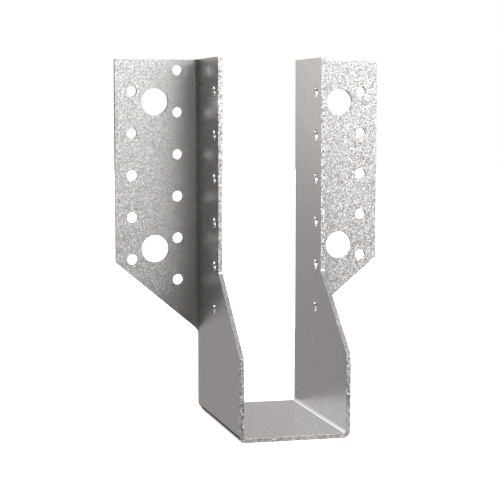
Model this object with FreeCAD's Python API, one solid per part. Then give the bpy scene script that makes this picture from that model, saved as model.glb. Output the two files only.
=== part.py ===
import FreeCAD, Part
import math
import os

Vector = FreeCAD.Vector

# Face-mount joist hanger: one blank of galvanised sheet steel, punched flat and folded along four lines.
# Sizes are in millimetres. X runs across the joist, Y runs along it towards the header, Z is up.
# The origin is the middle of the footprint, level with the underside of the seat.
# Heights are measured from the underside of the seat and depths from the header's face.

# Sheet and folds
sheet = 2.0                     # thickness of the steel
steel_density = 7.85e-6         # kg per cubic millimetre
seat_bend_inside = 1.5          # inside radius of the two folds beside the seat
wing_bend_inside = 1.5          # inside radius of the two folds that turn the wings outwards
corner_round = 0.5              # radius left on the blank's outer corners

# Pocket for the joist
joist_width = 45.0              # planed timber that the hanger is made for
joist_clearance = 1.5           # slack between the timber and the two side plates together
height = 168.2                  # underside of the seat to the top edge

# Side plates
seat_depth = 85.0               # header face to the front edge of the seat
strap_depth = 45.4              # header face to the front edge of the plates' narrow upper part
seat_side_height = 37.2         # height at which the deep lower part starts to narrow
taper_angle = 40.0              # slope of the tapered edges, above the horizontal
rear_setback = 2.0              # lower rear edges stand this far in front of the header face
runout_height = 1.6             # the wing folds flatten out over this height, just below the wings

# Wings
wing_reach = 39.75              # outer face of a side plate to the outer edge of its wing
wing_edge_length = 96.2         # straight outer edge of a wing, down from the top

# Nail and bolt holes
nail_hole = 5.0
bolt_hole = 13.0
nail_pitch = 20.0               # up and down the two nail columns of a wing
outer_column_edge = 8.1         # outer nail column to the wing's outer edge
column_spacing = 11.0           # between the outer nails, the bolts and the inner nails
inner_nails = 6
inner_nails_from_top = 5.0      # highest hole centre below the top edge
outer_nails = 5
outer_nails_from_top = 15.0
bolts = 2
bolt_pitch = 70.0
bolts_from_top = 20.0
side_nails = 6
side_nail_pitch = 20.0
side_nails_from_top = 15.4
side_nails_from_edge = 8.3      # hole centres to the front edge of the narrow part

# Sizes that follow
taper = math.tan(math.radians(taper_angle))
inner_x = (joist_width + joist_clearance) / 2
outer_x = inner_x + sheet
wing_x = outer_x + wing_reach
header_y = seat_depth / 2
front_y = header_y - seat_depth
strap_y = header_y - strap_depth
seat_bend_outside = seat_bend_inside + sheet
wing_bend_outside = wing_bend_inside + sheet
wing_bend_middle = wing_bend_inside + sheet / 2
fold_x = inner_x + wing_bend_outside        # where the flat of a wing begins
fold_y = header_y - wing_bend_outside       # where the flat of a side plate ends
lower_rear_y = header_y - rear_setback

# The tapered lower edge of a wing is one straight cut in the flat blank. Along the fold it drops
# at the same rate per millimetre of sheet, down to the lower rear edge of the side plate.
wing_corner_z = height - wing_edge_length
wing_taper_z = wing_corner_z - taper * (wing_x - fold_x)
fold_length = wing_bend_middle * math.pi / 2
fold_drop = taper * fold_length
unfolded_lip = lower_rear_y - fold_y        # flat sheet below the wing that lies in the fold's strip
junction_z = wing_taper_z - fold_drop + taper * unfolded_lip
lip_angle = math.degrees(unfolded_lip / wing_bend_middle)
cut_margin = sheet / 10                     # how far the cut across the fold runs past both faces


def outline_face(corners, place):
    # A flat face with straight sides. Each corner is (u, v, radius), and place puts (u, v) in space.
    points = [Vector(u, v, 0) for u, v, radius in corners]
    bends = []
    for index, (u, v, radius) in enumerate(corners):
        corner = points[index]
        before = (points[index - 1] - corner).normalize()
        after = (points[(index + 1) % len(points)] - corner).normalize()
        if radius == 0:
            bends.append([corner])
            continue
        half = before.getAngle(after) / 2
        middle = (before + after).normalize()
        reach = radius / math.tan(half)
        depth = radius / math.sin(half) - radius
        bends.append([corner + before * reach, corner + middle * depth, corner + after * reach])
    edges = []
    for index, bend in enumerate(bends):
        start = bends[index - 1][-1]
        if start.distanceToPoint(bend[0]) > 1e-6:
            edges.append(Part.LineSegment(place(start), place(bend[0])).toShape())
        if len(bend) == 3:
            edges.append(Part.Arc(*[place(point) for point in bend]).toShape())
    return Part.Face(Part.Wire(edges))


def seen_from_front(point):
    return Vector(point.x, 0, point.y)


def seen_from_side(point):
    return Vector(0, point.x, point.y)


def channel():
    # The seat and both side plates: a U section cut to the plates' outline seen from the side.
    section = outline_face([
        (-outer_x, height, 0),
        (-outer_x, 0, seat_bend_outside),
        (outer_x, 0, seat_bend_outside),
        (outer_x, height, 0),
        (inner_x, height, 0),
        (inner_x, sheet, seat_bend_inside),
        (-inner_x, sheet, seat_bend_inside),
        (-inner_x, height, 0),
    ], seen_from_front)
    section.translate(Vector(0, front_y, 0))
    strip = section.extrude(Vector(0, seat_depth, 0))

    slant_top_z = seat_side_height + taper * (seat_depth - strap_depth)
    fold_end_z = junction_z - runout_height
    side = outline_face([
        (front_y, -sheet, 0),
        (front_y, seat_side_height, corner_round),
        (strap_y, slant_top_z, corner_round),
        (strap_y, height, corner_round),
        (fold_y, height, 0),
        (fold_y, fold_end_z, 0),
        (lower_rear_y, fold_end_z, 0),
        (lower_rear_y, -sheet, 0),
    ], seen_from_side)
    side.translate(Vector(-wing_x, 0, 0))
    return strip.common(side.extrude(Vector(2 * wing_x, 0, 0)))


def lip_runout():
    # Just below the left wing the sheet goes from folded to flat over a small height.
    middle = Vector(-fold_x, fold_y, junction_z)
    turned = []
    for radius in (wing_bend_outside, wing_bend_inside):
        for angle in (0, lip_angle / 2, lip_angle):
            around = math.radians(angle)
            turned.append(middle + Vector(radius * math.cos(around), radius * math.sin(around), 0))
    curved = Part.Wire([
        Part.Arc(turned[0], turned[1], turned[2]).toShape(),
        Part.LineSegment(turned[2], turned[5]).toShape(),
        Part.Arc(turned[5], turned[4], turned[3]).toShape(),
        Part.LineSegment(turned[3], turned[0]).toShape(),
    ])
    low = junction_z - runout_height
    flat = Part.makePolygon([
        Vector(-inner_x, fold_y, low),
        Vector(-inner_x, lower_rear_y, low),
        Vector(-outer_x, lower_rear_y, low),
        Vector(-outer_x, fold_y, low),
        Vector(-inner_x, fold_y, low),
    ])
    return Part.makeLoft([curved, flat], True, True)


def left_wing():
    # The fold and the wing as one bent strip, seen from above, then cut to the wing's outline.
    plan = outline_face([
        (-inner_x, fold_y - sheet, 0),
        (-inner_x, header_y, wing_bend_outside),
        (-wing_x, header_y, 0),
        (-wing_x, header_y - sheet, 0),
        (-outer_x, header_y - sheet, wing_bend_inside),
        (-outer_x, fold_y - sheet, 0),
    ], lambda point: Vector(point.x, point.y, junction_z))
    strip = plan.extrude(Vector(0, 0, height - junction_z))

    front = outline_face([
        (0, height, 0),
        (-wing_x, height, corner_round),
        (-wing_x, wing_corner_z, corner_round),
        (-fold_x, wing_taper_z, 0),
        (-fold_x, junction_z, 0),
        (0, junction_z, 0),
    ], seen_from_front)
    strip = strip.common(front.extrude(Vector(0, header_y, 0)))

    # What lies below the straight cut within the fold: under a surface that rises with the turn.
    rise_per_turn = taper * 2 * math.pi * wing_bend_middle
    inside = Part.makeHelix(rise_per_turn, fold_drop, wing_bend_inside - cut_margin)
    outside = Part.makeHelix(rise_per_turn, fold_drop, wing_bend_outside + cut_margin)
    under = Part.makeRuledSurface(inside.Edges[0], outside.Edges[0]).extrude(Vector(0, 0, -2 * fold_drop))
    under.translate(Vector(-fold_x, fold_y, wing_taper_z - fold_drop))
    return strip.cut(under)


def drill(shape, diameter, centres, direction, length):
    for centre in centres:
        start = centre - direction * (length / 2)
        shape = shape.cut(Part.makeCylinder(diameter / 2, length, start, direction))
    return shape


def column(x, y, count, pitch, from_top):
    return [Vector(x, y, height - from_top - row * pitch) for row in range(count)]


def wing_holes():
    outer_column_x = wing_x - outer_column_edge
    bolt_column_x = outer_column_x - column_spacing
    inner_column_x = bolt_column_x - column_spacing
    nails = []
    bolt_centres = []
    for side in (-1, 1):
        nails += column(side * outer_column_x, header_y, outer_nails, nail_pitch, outer_nails_from_top)
        nails += column(side * inner_column_x, header_y, inner_nails, nail_pitch, inner_nails_from_top)
        bolt_centres += column(side * bolt_column_x, header_y, bolts, bolt_pitch, bolts_from_top)
    return nails, bolt_centres


def hanger():
    wing = left_wing().fuse(lip_runout())
    folded = channel().fuse([wing, wing.mirror(Vector(0, 0, 0), Vector(1, 0, 0))])
    nails, bolt_centres = wing_holes()
    through_wing = 4 * sheet
    folded = drill(folded, nail_hole, nails, Vector(0, 1, 0), through_wing)
    folded = drill(folded, bolt_hole, bolt_centres, Vector(0, 1, 0), through_wing)
    side_nail_y = strap_y + side_nails_from_edge
    side = column(0, side_nail_y, side_nails, side_nail_pitch, side_nails_from_top)
    folded = drill(folded, nail_hole, side, Vector(1, 0, 0), 2 * outer_x + 2 * sheet)
    return folded.removeSplitter().Solids[0]


os.makedirs("parts", exist_ok=True)
piece = hanger()
piece.exportStep("parts/hanger.step")
box = piece.optimalBoundingBox()
print("hanger:", len(piece.Faces), "faces, valid", piece.isValid(), "volume", round(piece.Volume, 1), "mm3")
print("size:", round(box.XLength, 3), round(box.YLength, 3), round(box.ZLength, 3))
print("steel:", round(piece.Volume * steel_density, 3), "kg")
print("wing taper meets the fold at", round(wing_taper_z, 2), "and the lower rear edge at", round(junction_z, 2))
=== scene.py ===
import math

import bpy
from mathutils import Matrix, Vector


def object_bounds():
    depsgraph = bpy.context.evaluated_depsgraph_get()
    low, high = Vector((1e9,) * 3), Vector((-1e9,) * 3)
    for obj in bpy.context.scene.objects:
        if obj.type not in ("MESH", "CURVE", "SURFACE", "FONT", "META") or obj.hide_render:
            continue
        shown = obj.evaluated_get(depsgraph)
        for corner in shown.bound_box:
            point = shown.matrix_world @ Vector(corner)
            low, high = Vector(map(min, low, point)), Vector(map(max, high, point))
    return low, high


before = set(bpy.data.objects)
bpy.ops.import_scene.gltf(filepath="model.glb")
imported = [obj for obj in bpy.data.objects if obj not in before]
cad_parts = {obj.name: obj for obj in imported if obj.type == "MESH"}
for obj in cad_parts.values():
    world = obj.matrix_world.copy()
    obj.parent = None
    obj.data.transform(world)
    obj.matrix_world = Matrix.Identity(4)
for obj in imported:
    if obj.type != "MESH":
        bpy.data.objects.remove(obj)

cadLow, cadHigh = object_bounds()
print("frame loaded:", ", ".join(sorted(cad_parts)))


# Node helpers: place a node with its settings, and feed links or plain values into its inputs

randomMiddle = 0.5      # of what the noise and the cells put out


def feed(tree, socket, value):
    if isinstance(value, bpy.types.NodeSocket):
        tree.links.new(value, socket)
    else:
        socket.default_value = value


def addNode(tree, kind, inputs=None, **settings):
    node = tree.nodes.new(kind)
    for name, value in settings.items():
        setattr(node, name, value)
    for name, value in (inputs or {}).items():
        feed(tree, node.inputs[name], value)
    return node


def clearTree(owner):
    owner.use_nodes = True
    owner.node_tree.nodes.clear()
    return owner.node_tree


def doMath(tree, operation, *values, clamp=False):
    node = addNode(tree, "ShaderNodeMath", dict(enumerate(values)),
                   operation=operation, use_clamp=clamp)
    return node.outputs[0]


def doVector(tree, operation, *values):
    node = addNode(tree, "ShaderNodeVectorMath", dict(enumerate(values)), operation=operation)
    return node.outputs["Value" if operation == "DOT_PRODUCT" else "Vector"]


def scaleVector(tree, vector, amount):
    node = addNode(tree, "ShaderNodeVectorMath", {0: vector, "Scale": amount}, operation="SCALE")
    return node.outputs[0]


def mixColour(tree, factor, first, second):
    node = addNode(tree, "ShaderNodeMix", {0: factor, 6: first, 7: second}, data_type="RGBA")
    return node.outputs[2]


def mixNumber(tree, factor, first, second):
    node = addNode(tree, "ShaderNodeMix", {0: factor, 2: first, 3: second}, data_type="FLOAT")
    return node.outputs[0]


def rampUp(tree, value, low, high):
    node = addNode(tree, "ShaderNodeMapRange", {"Value": value, "From Min": low, "From Max": high},
                   interpolation_type="SMOOTHSTEP")
    return node.outputs["Result"]


def addLight(tree, light, change, fade):
    return doVector(tree, "ADD", light, scaleVector(tree, change, fade))


def addSquares(tree, first, second):
    return doMath(tree, "ADD", doMath(tree, "MULTIPLY", first, first),
                  doMath(tree, "MULTIPLY", second, second))


def distance(tree, value, centre):
    return doMath(tree, "ABSOLUTE", doMath(tree, "SUBTRACT", value, centre))


def fromRandomMiddle(tree, value):
    return doMath(tree, "SUBTRACT", value, randomMiddle)


def between(value, low, high):
    return ("GREATER_THAN", value, low), ("LESS_THAN", value, high)


def within(tree, *tests):
    held = [doMath(tree, *test) for test in tests]      # each is 1 where its test holds, otherwise 0
    mask = held[0]
    for other in held[1:]:
        mask = doMath(tree, "MULTIPLY", mask, other)
    return mask


def newGroup(name, inputs, outputs):
    group = bpy.data.node_groups.new(name, "ShaderNodeTree")
    for side, sockets in (("INPUT", inputs), ("OUTPUT", outputs)):
        for socketName, kind in sockets.items():
            group.interface.new_socket(socketName, in_out=side, socket_type="NodeSocket" + kind)
    return group, group.nodes.new("NodeGroupInput").outputs, group.nodes.new("NodeGroupOutput").inputs


def addGroup(tree, group, **values):
    return addNode(tree, "ShaderNodeGroup", values, node_tree=group).outputs


# Zinc crystals: every grain leans its own way, so neighbours mirror other parts of the room

def makeGrainGroup():
    group, given, result = newGroup(
        "zincGrain",
        {"Point": "Vector", "Normal": "Vector", "Size": "Float", "Lean": "Float"},
        {"Normal": "Vector", "Shade": "Float", "Polish": "Float"},
    )
    scale = doMath(group, "DIVIDE", 1.0, given["Size"])
    cells = addNode(group, "ShaderNodeTexVoronoi", {
        "Vector": given["Point"], "Scale": scale}, feature="F1").outputs["Color"]
    lean = scaleVector(group, doVector(group, "SUBTRACT", cells, (randomMiddle,) * 3), given["Lean"])
    leaning = doVector(group, "ADD", given["Normal"], lean)
    feed(group, result["Normal"], doVector(group, "NORMALIZE", leaning))
    random = addNode(group, "ShaderNodeSeparateColor", {"Color": cells}).outputs
    feed(group, result["Shade"], random[0])
    feed(group, result["Polish"], random[1])
    return group


# A fold's face: a quarter turn at one radius about an axis, less a strip at each end of the turn

def makeFoldGroup():
    group, given, result = newGroup(
        "foldBand",
        {"Across": "Float", "Down": "Float", "Radius": "Float", "Margin": "Float", "Ends": "Float"},
        {"Mask": "Float"},
    )
    fromAxis = doMath(group, "SQRT", addSquares(group, given["Across"], given["Down"]))
    band = within(
        group,
        ("LESS_THAN", distance(group, fromAxis, given["Radius"]), given["Margin"]),
        ("GREATER_THAN", given["Across"], given["Ends"]),
        ("GREATER_THAN", given["Down"], given["Ends"]),
    )
    feed(group, result["Mask"], band)
    return group


# Galvanised sheet: where its parts lie, how they face, and how the zinc looks on each

galvanised = {
    # The pressed sheet, in metres
    "thickness": 0.002,
    "plateInside": 0.02325,         # middle of the pocket to a side plate
    "seatFoldInside": 0.0015,       # inside radius of the folds beside the seat
    "untouched": 0.0007,            # strips along the inner folds, where the press tool doesn't reach
    "sideHolesAlong": 0.0054,       # where the side plates' nail holes lie along the joist
    "sideHolesTop": 0.16,           # they all lie lower than this
    "holeReach": 0.0029,            # a little more than their radius
    "cornerHeights": (0.02, 0.06),  # where the front edges begin to slope back
    "foldToEdge": (0.03, 0.055),    # from the middle, near the fold and near the edge of a wing
    "leftToRight": (-0.025, 0.025),
    "holdToSheet": 0.0003,          # how near to a face a point still belongs to it

    # How a part faces, as a share of its normal from 0 to 1
    "facing": (0.3, 0.8),           # along the joist, where the looks of wings and front edges fade in
    "wingCut": 0.2,                 # along the joist at most, for the cut edges of the wings
    "foldSide": 0.5,                # along the joist at most, for the folds beside the seat
    "holeWall": 0.5,                # across it at most, for the walls of the holes
    "cornerAcross": 0.2,            # across it at most, for the corners of the front edges
    "cornerUp": (0.02, 0.72),       # upwards, for the same corners
    "worn": (0.98, 0.85),           # rounded normal along the flat one, for no wear and full wear

    # Colours, or pairs of them for the darkest crystal and the brightest
    "faceColours": ((0.42, 0.42, 0.42, 1.0), (0.78, 0.78, 0.78, 1.0)),
    "edgeColours": ((0.45, 0.45, 0.45, 1.0), (1.0, 1.0, 1.0, 1.0)),
    "drawnColours": ((0.58, 0.58, 0.58, 1.0), (0.62, 0.62, 0.62, 1.0)),
    "wornColour": (0.7, 0.7, 0.695, 1.0),
    "cutColour": (0.66, 0.66, 0.66, 1.0),
    # cornerColour: painted shade, darker than the zinc, over the highlight on the rounded corners
    "cornerColour": (0.4, 0.4, 0.4, 1.0),
    "paintedShadeAcross": (0.925, 1.065),   # painted shade near the folds of the wings, painted light at their outer edges
    "wear": 0.5,
    "wornRadius": 0.00015,
    "wornSamples": 6,

    # Crystals: faces are the wings, edges the sheet's front edges, and drawn the seat and side plates
    "grainSize": 0.00042,
    "grainAcross": (0.86, 1.4),     # strength of the grain, at the left and at the right of the hanger
    "grainByFold": 0.6,             # and near the folds of the wings
    "faceLean": 0.13,
    "edgeLean": 0.3,
    "drawnLean": 0.025,
    "faceRoughness": 0.33,
    "drawnRoughness": 0.27,
    "cutRoughness": 0.14,
    "burnishedRoughness": 0.11,
    "cornerRoughness": 0.6,
    "polishSpread": 0.06,           # how far the roughness of single crystals differs

    # Clouds, and how much they change the roughness, the shade and the lean
    "cloudSize": 0.011,
    "cloudDetail": 2.0,
    "cloudBreakup": 0.5,
    "cloudRoughness": 0.05,
    "cloudShade": 0.38,
    "cloudLean": 0.5,
}


def markSheet(tree, place, flat):
    x, y, z = addNode(tree, "ShaderNodeSeparateXYZ", {0: place}).outputs
    flatX, flatY, flatZ = addNode(tree, "ShaderNodeSeparateXYZ", {0: flat}).outputs
    fromMiddle = doMath(tree, "ABSOLUTE", x)
    facesAcross = doMath(tree, "ABSOLUTE", flatX)
    facesAlong = doMath(tree, "ABSOLUTE", flatY)
    plateInside, thickness = galvanised["plateInside"], galvanised["thickness"]
    hold = galvanised["holdToSheet"]
    plateLimit = plateInside + thickness + hold

    # The punch and the shears leave smooth walls
    sideHole = within(
        tree,
        *between(fromMiddle, plateInside - hold, plateLimit),
        ("LESS_THAN", facesAcross, galvanised["holeWall"]),
        ("LESS_THAN", distance(tree, y, galvanised["sideHolesAlong"]), galvanised["holeReach"]),
        ("LESS_THAN", z, galvanised["sideHolesTop"]),
    )
    wingCut = within(
        tree,
        ("GREATER_THAN", fromMiddle, plateLimit),
        ("LESS_THAN", facesAlong, galvanised["wingCut"]),
    )

    # The press tool burnishes both sides of the two folds beside the seat
    foldInside = galvanised["seatFoldInside"]
    across = doMath(tree, "SUBTRACT", fromMiddle, plateInside - foldInside)
    down = doMath(tree, "SUBTRACT", thickness + foldInside, z)
    foldGroup = makeFoldGroup()
    foldFaces = [
        addGroup(tree, foldGroup, Across=across, Down=down,
                 Radius=radius, Margin=hold, Ends=ends)["Mask"]
        for radius, ends in ((foldInside, galvanised["untouched"]), (foldInside + thickness, 0.0))
    ]
    folds = doMath(tree, "ADD", *foldFaces, clamp=True)
    foldSides = doMath(tree, "LESS_THAN", facesAlong, galvanised["foldSide"])

    # The corners where the front edges begin to slope back get a rough finish, and a darker colour
    # painted on as shade over the highlight they would catch
    corner = within(
        tree,
        ("LESS_THAN", fromMiddle, plateLimit),
        ("LESS_THAN", facesAcross, galvanised["cornerAcross"]),
        *between(flatZ, *galvanised["cornerUp"]),
        *between(z, *galvanised["cornerHeights"]),
    )
    return {
        "facing": rampUp(tree, facesAlong, *galvanised["facing"]),       # wings and front edges
        "onEdge": doMath(tree, "LESS_THAN", fromMiddle, plateLimit),     # of these, the front edges
        "outwards": rampUp(tree, fromMiddle, *galvanised["foldToEdge"]),
        "toRight": rampUp(tree, x, *galvanised["leftToRight"]),
        "cut": doMath(tree, "ADD", sideHole, wingCut, clamp=True),
        "burnished": doMath(tree, "MULTIPLY", folds, foldSides),
        "corner": corner,
    }


def grainStrength(tree, marks):
    strength = doMath(tree, "MULTIPLY", mixNumber(tree, marks["toRight"], *galvanised["grainAcross"]),
                      mixNumber(tree, marks["outwards"], galvanised["grainByFold"], 1.0))
    return mixNumber(tree, marks["onEdge"], strength, 1.0)


def grainLean(tree, marks, cloudy, strength):
    facingLean = mixNumber(tree, marks["onEdge"], galvanised["faceLean"], galvanised["edgeLean"])
    lean = mixNumber(tree, marks["facing"], galvanised["drawnLean"], facingLean)
    patchy = doMath(tree, "MULTIPLY_ADD", cloudy, galvanised["cloudLean"], 1.0)
    lean = doMath(tree, "MULTIPLY", lean, doMath(tree, "MULTIPLY", patchy, strength))
    smooth = doMath(tree, "MAXIMUM", marks["cut"], marks["burnished"])
    return doMath(tree, "MULTIPLY", lean, doMath(tree, "SUBTRACT", 1.0, smooth))


def zincShade(tree, cloudy, strength, random):
    spread = doMath(tree, "MULTIPLY", fromRandomMiddle(tree, random), strength)
    shade = doMath(tree, "MULTIPLY_ADD", cloudy, galvanised["cloudShade"],
                   doMath(tree, "ADD", spread, randomMiddle))
    return doMath(tree, "MAXIMUM", shade, 0.0)


def zincColour(tree, marks, shade, turned):
    face, edge, drawn = [mixColour(tree, shade, *galvanised[part + "Colours"])
                         for part in ("face", "edge", "drawn")]
    facing = mixColour(tree, marks["onEdge"], face, edge)
    # painted shade darkens the wings near the folds, and painted light brightens their outer edges
    facing = scaleVector(tree, facing, mixNumber(tree, marks["outwards"], *galvanised["paintedShadeAcross"]))
    colour = mixColour(tree, marks["facing"], drawn, facing)
    worn = doMath(tree, "MULTIPLY", rampUp(tree, turned, *galvanised["worn"]), galvanised["wear"])
    colour = mixColour(tree, worn, colour, galvanised["wornColour"])
    # the cut walls take their own colour; the corners take a darker colour, painted shade over their
    # highlight
    for part in ("cut", "corner"):
        colour = mixColour(tree, marks[part], colour, galvanised[part + "Colour"])
    return colour


def zincRoughness(tree, marks, cloudy, random):
    roughness = mixNumber(tree, marks["facing"], galvanised["drawnRoughness"],
                          galvanised["faceRoughness"])
    polish = fromRandomMiddle(tree, random)
    roughness = doMath(tree, "MULTIPLY_ADD", polish, galvanised["polishSpread"], roughness)
    roughness = doMath(tree, "MULTIPLY_ADD", cloudy, galvanised["cloudRoughness"], roughness)
    for part in ("cut", "burnished", "corner"):
        roughness = mixNumber(tree, marks[part], roughness, galvanised[part + "Roughness"])
    return roughness


def makeGalvanised():
    material = bpy.data.materials.new("galvanisedSheet")
    tree = clearTree(material)
    place = addNode(tree, "ShaderNodeTexCoord").outputs["Object"]
    flat = addNode(tree, "ShaderNodeNewGeometry").outputs["Normal"]
    rounded = addNode(tree, "ShaderNodeBevel", {"Radius": galvanised["wornRadius"]},
                      samples=galvanised["wornSamples"]).outputs["Normal"]
    turned = doVector(tree, "DOT_PRODUCT", rounded, flat)
    clouds = addNode(tree, "ShaderNodeTexNoise", {
        "Vector": place, "Scale": 1 / galvanised["cloudSize"],
        "Detail": galvanised["cloudDetail"], "Roughness": galvanised["cloudBreakup"]})
    cloudy = fromRandomMiddle(tree, clouds.outputs["Fac"])

    marks = markSheet(tree, place, flat)
    strength = grainStrength(tree, marks)
    grain = addGroup(tree, makeGrainGroup(), Point=place, Normal=rounded, Size=galvanised["grainSize"],
                     Lean=grainLean(tree, marks, cloudy, strength))
    shade = zincShade(tree, cloudy, strength, grain["Shade"])
    surface = addNode(tree, "ShaderNodeBsdfPrincipled", {
        "Base Color": zincColour(tree, marks, shade, turned),
        "Metallic": 1.0,
        "Roughness": zincRoughness(tree, marks, cloudy, grain["Polish"]),
        "Normal": grain["Normal"],
    })
    addNode(tree, "ShaderNodeOutputMaterial", {"Surface": surface.outputs[0]})
    return material


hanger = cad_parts["hanger"]
hanger.data.materials.clear()
hanger.data.materials.append(makeGalvanised())
print("galvanised finish on the hanger")


# Floor: white to the camera, with the hanger's faint shadow on it, and a darker grey in the metal, with
# painted shade, painted light and a painted shadow under the seat on that grey

floorLook = {
    "size": 6.0,
    "white": (2.4, 2.4, 2.4, 1.0),         # above 1, so that the shadow stays faint
    "inMetal": (0.38, 0.358, 0.352),       # what the zinc shows of the floor
    "darkest": (0.02, 0.02, 0.02),
    "paintedContactShadow": (0.0262, 0.0425),           # half the width and depth of the painted shadow under the seat, black in the zinc
    "paintedShadeAndLight": {                             # painted shade and light: where the floor, as the zinc mirrors it, is made darker or brighter
        "front": {"centre": (-0.07, -0.17), "reach": (0.19, 0.14), "core": 0.55, "light": (-0.38,) * 3},
        "left": {"centre": (-0.5, -0.35), "reach": (0.44, 0.6), "core": 0.7, "light": (-0.38,) * 3},
        "behind": {"centre": (0.08, 0.4), "reach": (0.11, 0.28), "core": 0.5, "light": (-0.38,) * 3},
        "keyFoot": {"centre": (0.12, -0.75), "reach": (0.4, 0.4), "core": 0.5, "light": (0.12,) * 3},
    },
}


def spotFade(tree, x, y, spot):
    away = [doMath(tree, "DIVIDE", doMath(tree, "SUBTRACT", value, centre), reach)
            for value, centre, reach in zip((x, y), spot["centre"], spot["reach"])]
    return rampUp(tree, addSquares(tree, *away), 1.0, spot["core"])


def floorInMetal(tree):
    place = addNode(tree, "ShaderNodeTexCoord").outputs["Object"]
    x, y = addNode(tree, "ShaderNodeSeparateXYZ", {0: place}).outputs[:2]
    width, depth = floorLook["paintedContactShadow"]
    # painted shadow: under the seat the floor turns black as the zinc mirrors it
    paintedContactShadow = within(
        tree,
        ("LESS_THAN", doMath(tree, "ABSOLUTE", x), width),
        ("LESS_THAN", doMath(tree, "ABSOLUTE", y), depth),
    )
    light = floorLook["inMetal"]
    # painted shade and light in patches on the floor as the zinc mirrors it
    for spot in floorLook["paintedShadeAndLight"].values():
        light = addLight(tree, light, spot["light"], spotFade(tree, x, y, spot))
    light = doVector(tree, "MAXIMUM", light, floorLook["darkest"])
    return scaleVector(tree, light, doMath(tree, "SUBTRACT", 1.0, paintedContactShadow))


def makeFloor():
    bpy.ops.object.select_all(action="DESELECT")
    bpy.ops.mesh.primitive_plane_add(size=floorLook["size"], location=(0, 0, cadLow.z))
    floor = bpy.context.object
    floor.name = "floor"
    material = bpy.data.materials.new("paleFloor")
    tree = clearTree(material)
    path = addNode(tree, "ShaderNodeLightPath")
    seen = addNode(tree, "ShaderNodeBsdfDiffuse", {"Color": floorLook["white"]})
    mirrored = addNode(tree, "ShaderNodeEmission", {"Color": floorInMetal(tree), "Strength": 1.0})
    surface = addNode(tree, "ShaderNodeMixShader", {
        0: path.outputs["Is Glossy Ray"], 1: seen.outputs[0], 2: mirrored.outputs[0]})
    addNode(tree, "ShaderNodeOutputMaterial", {"Surface": surface.outputs[0]})
    material.cycles.emission_sampling = "NONE"      # it shows in the zinc, but lights nothing else
    floor.data.materials.append(material)


makeFloor()
print("floor laid")


# Room: white to the camera. The zinc mirrors a little less than white, with softboxes added to it
# and dark flags taken off it, each soft from its core to its edge

room = {
    "white": (1.0, 1.0, 1.0, 1.0),
    "inMetal": (0.81, 0.797, 0.793),
    "panels": {     # in degrees: around from straight in front towards the right, and up
        "keySoftbox": {"around": 27, "up": 42, "core": 20, "edge": 26, "light": (4.84, 4.9, 4.9)},
        "keyFoot": {"around": 17, "up": -5, "core": 17, "edge": 23, "light": (0.94, 0.95, 0.95)},
        "keySide": {"around": 41, "up": 10, "core": 8, "edge": 22, "light": (0.8, 0.8, 0.8)},
        "ceilingDark": {"around": 95, "up": 78, "core": 14, "edge": 34, "light": (-0.38,) * 3},
        "darkFlag": {"around": -45, "up": 16, "core": 33, "edge": 42, "light": (-1.53, -1.55, -1.55)},
        "sideFlag": {"around": -103, "up": 8, "core": 20, "edge": 36, "light": (-0.45,) * 3},
        "backLeft": {"around": -154, "up": 8, "core": 6, "edge": 17, "light": (0.88, 0.83, 0.8)},
        "foldShine": {"around": -176, "up": 20, "core": 1, "edge": 5, "light": (2.8, 2.8, 2.8)},
        "backDark": {"around": -177, "up": 2, "core": 10, "edge": 21, "light": (-0.8,) * 3},
        "seatDark": {"around": 165, "up": 12, "core": 5, "edge": 17, "light": (-0.2, -0.22, -0.22)},
        "backRight": {"around": 120, "up": 3, "core": 20, "edge": 33, "light": (2.85, 2.75, 2.7)},
    },
}


def directionOf(panel):
    around, up = math.radians(panel["around"]), math.radians(panel["up"])
    return Vector((math.sin(around) * math.cos(up), -math.cos(around) * math.cos(up), math.sin(up)))


def makePanelGroup():
    group, given, result = newGroup(
        "softPanel",
        {"Direction": "Vector", "Centre": "Vector", "Core": "Float", "Edge": "Float"},
        {"Light": "Float"},
    )
    along = doVector(group, "DOT_PRODUCT", given["Direction"], given["Centre"])
    away = doMath(group, "DEGREES", doMath(group, "ARCCOSINE", along))
    feed(group, result["Light"], rampUp(group, away, given["Edge"], given["Core"]))
    return group


def makeRoom():
    world = bpy.data.worlds.new("studio")
    bpy.context.scene.world = world
    tree = clearTree(world)
    direction = addNode(tree, "ShaderNodeTexCoord").outputs["Generated"]
    panelGroup = makePanelGroup()
    light = room["inMetal"]
    for panel in room["panels"].values():
        fade = addGroup(tree, panelGroup, Direction=direction, Centre=directionOf(panel),
                        Core=panel["core"], Edge=panel["edge"])["Light"]
        light = addLight(tree, light, panel["light"], fade)
    light = doVector(tree, "MAXIMUM", light, (0.0, 0.0, 0.0))
    path = addNode(tree, "ShaderNodeLightPath")
    colour = mixColour(tree, path.outputs["Is Glossy Ray"], room["white"], light)
    background = addNode(tree, "ShaderNodeBackground", {"Color": colour, "Strength": 1.0})
    addNode(tree, "ShaderNodeOutputWorld", {"Surface": background.outputs[0]})


makeRoom()
bpy.context.scene.view_settings.view_transform = "Standard"
print("room lit")


# Camera: where the photograph was taken from, worked out from the hole centres and edges

cameraPlace = {
    "position": (-0.185856, -0.684354, 0.1439),
    "turn": -14.437,      # degrees, less than 0 towards the right
    "tilt": -5.139,       # degrees, less than 0 downwards
    "lens": 111.52,       # millimetres, for a sensor this wide
    "sensor": 36.0,
}


def makeCamera():
    data = bpy.data.cameras.new("photoCamera")
    data.lens = cameraPlace["lens"]
    data.sensor_width = cameraPlace["sensor"]
    camera = bpy.data.objects.new("photoCamera", data)
    bpy.context.scene.collection.objects.link(camera)
    turn = Matrix.Rotation(math.radians(cameraPlace["turn"]), 4, "Z")
    tilt = Matrix.Rotation(math.radians(90 + cameraPlace["tilt"]), 4, "X")
    camera.matrix_world = Matrix.Translation(cameraPlace["position"]) @ turn @ tilt
    bpy.context.scene.camera = camera


makeCamera()
print("camera set")
